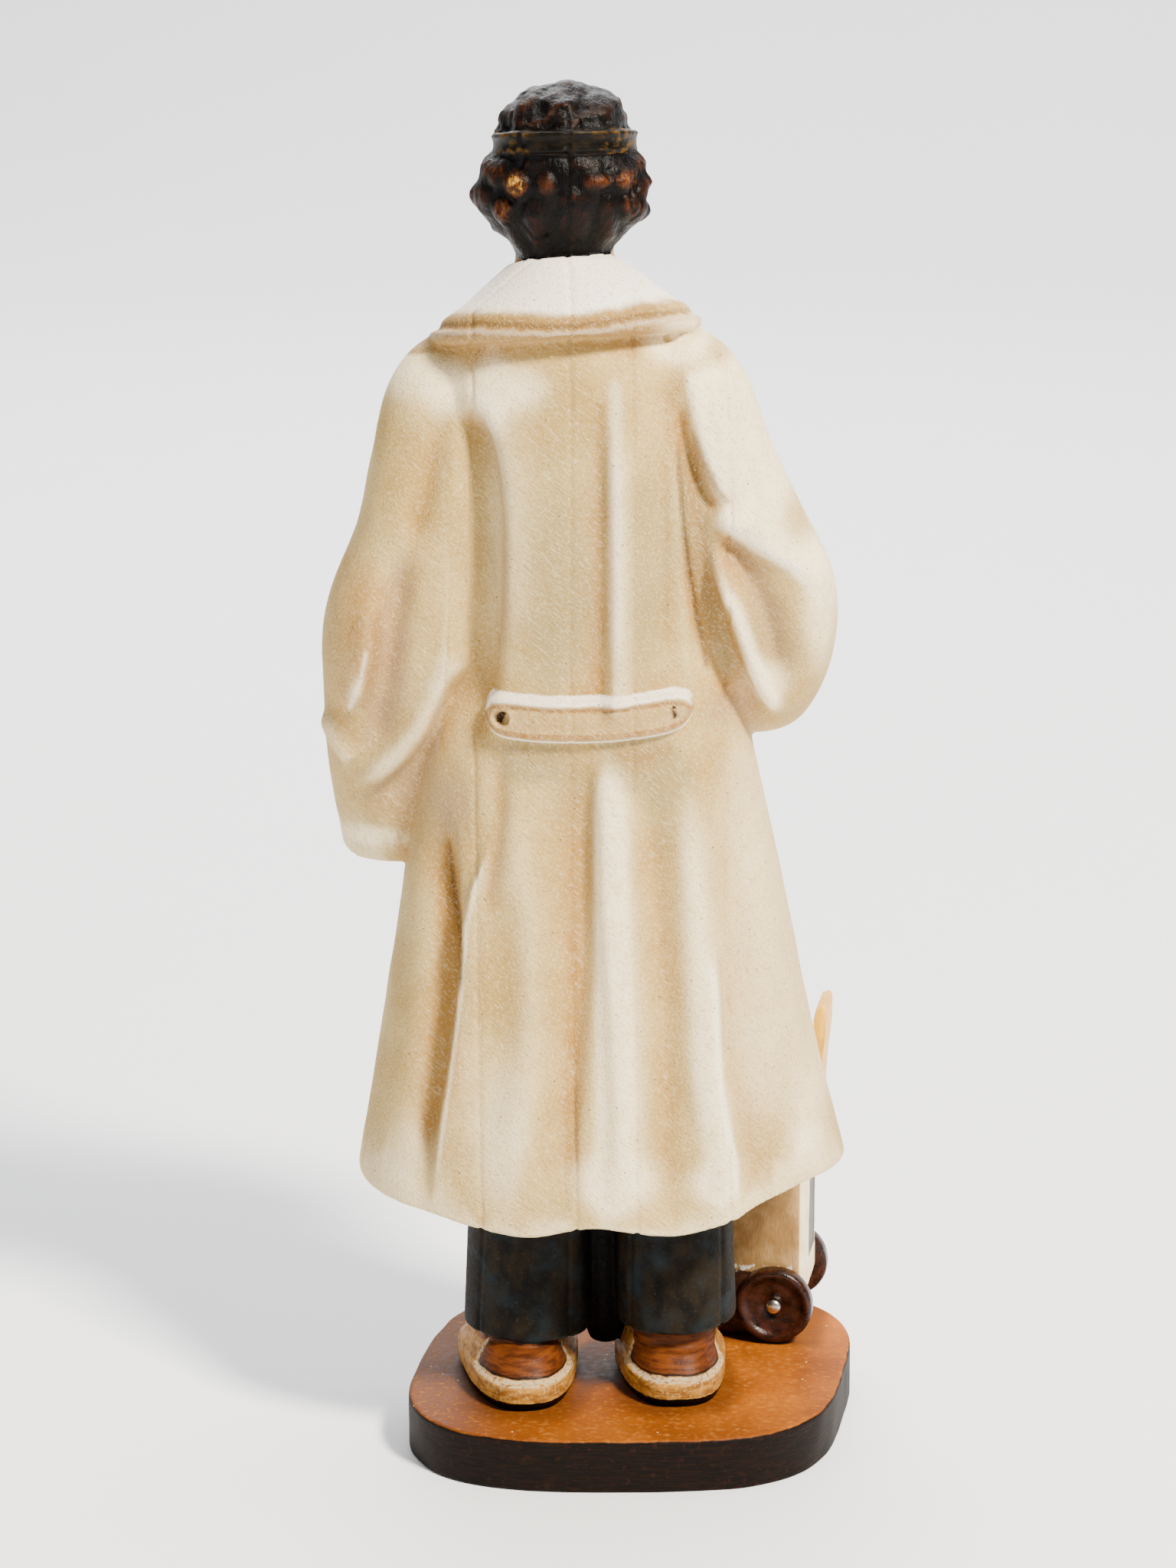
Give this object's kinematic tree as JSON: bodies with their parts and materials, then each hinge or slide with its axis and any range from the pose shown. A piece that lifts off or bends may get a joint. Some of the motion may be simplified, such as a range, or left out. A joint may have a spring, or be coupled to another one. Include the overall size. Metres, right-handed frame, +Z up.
{
  "type": "carved wooden figurine of a man in a long coat",
  "caption": "Carved and painted wooden figurine of a standing man in a long white coat with a headband, on a rounded base with a small wheeled box, for display.",
  "frame": {"origin": "middle of the base's underside", "axes": "+Z up, -Y the way the figure faces, +X towards the figure's left hand"},
  "size_m": [0.077, 0.0641, 0.1985],
  "materials": {
    "base_wood": "ochre glaze on the top, dark brown stain on the sides, satin",
    "painted_wood": "hand-painted limewood, off-white coat with tan and lilac glaze, dark hair and trousers, satin to matt",
    "box_wood": "cream and tan paint on carved wood, satin",
    "handle_wood": "pale yellow paint, satin",
    "wheel_wood": "dark red-brown stain, glossy varnish",
    "pin_steel": "bright round-headed steel pin"
  },
  "bodies": {
    "root": {"base": "base_wood", "figure": "painted_wood", "wheeled_box": "box_wood", "box_handle": "handle_wood", "back_right_wheel": "wheel_wood", "back_left_wheel": "wheel_wood", "front_right_wheel": "wheel_wood", "front_left_wheel": "wheel_wood", "back_right_pin": "pin_steel", "back_left_pin": "pin_steel", "front_right_pin": "pin_steel", "front_left_pin": "pin_steel"}
  },
  "joints": []
}
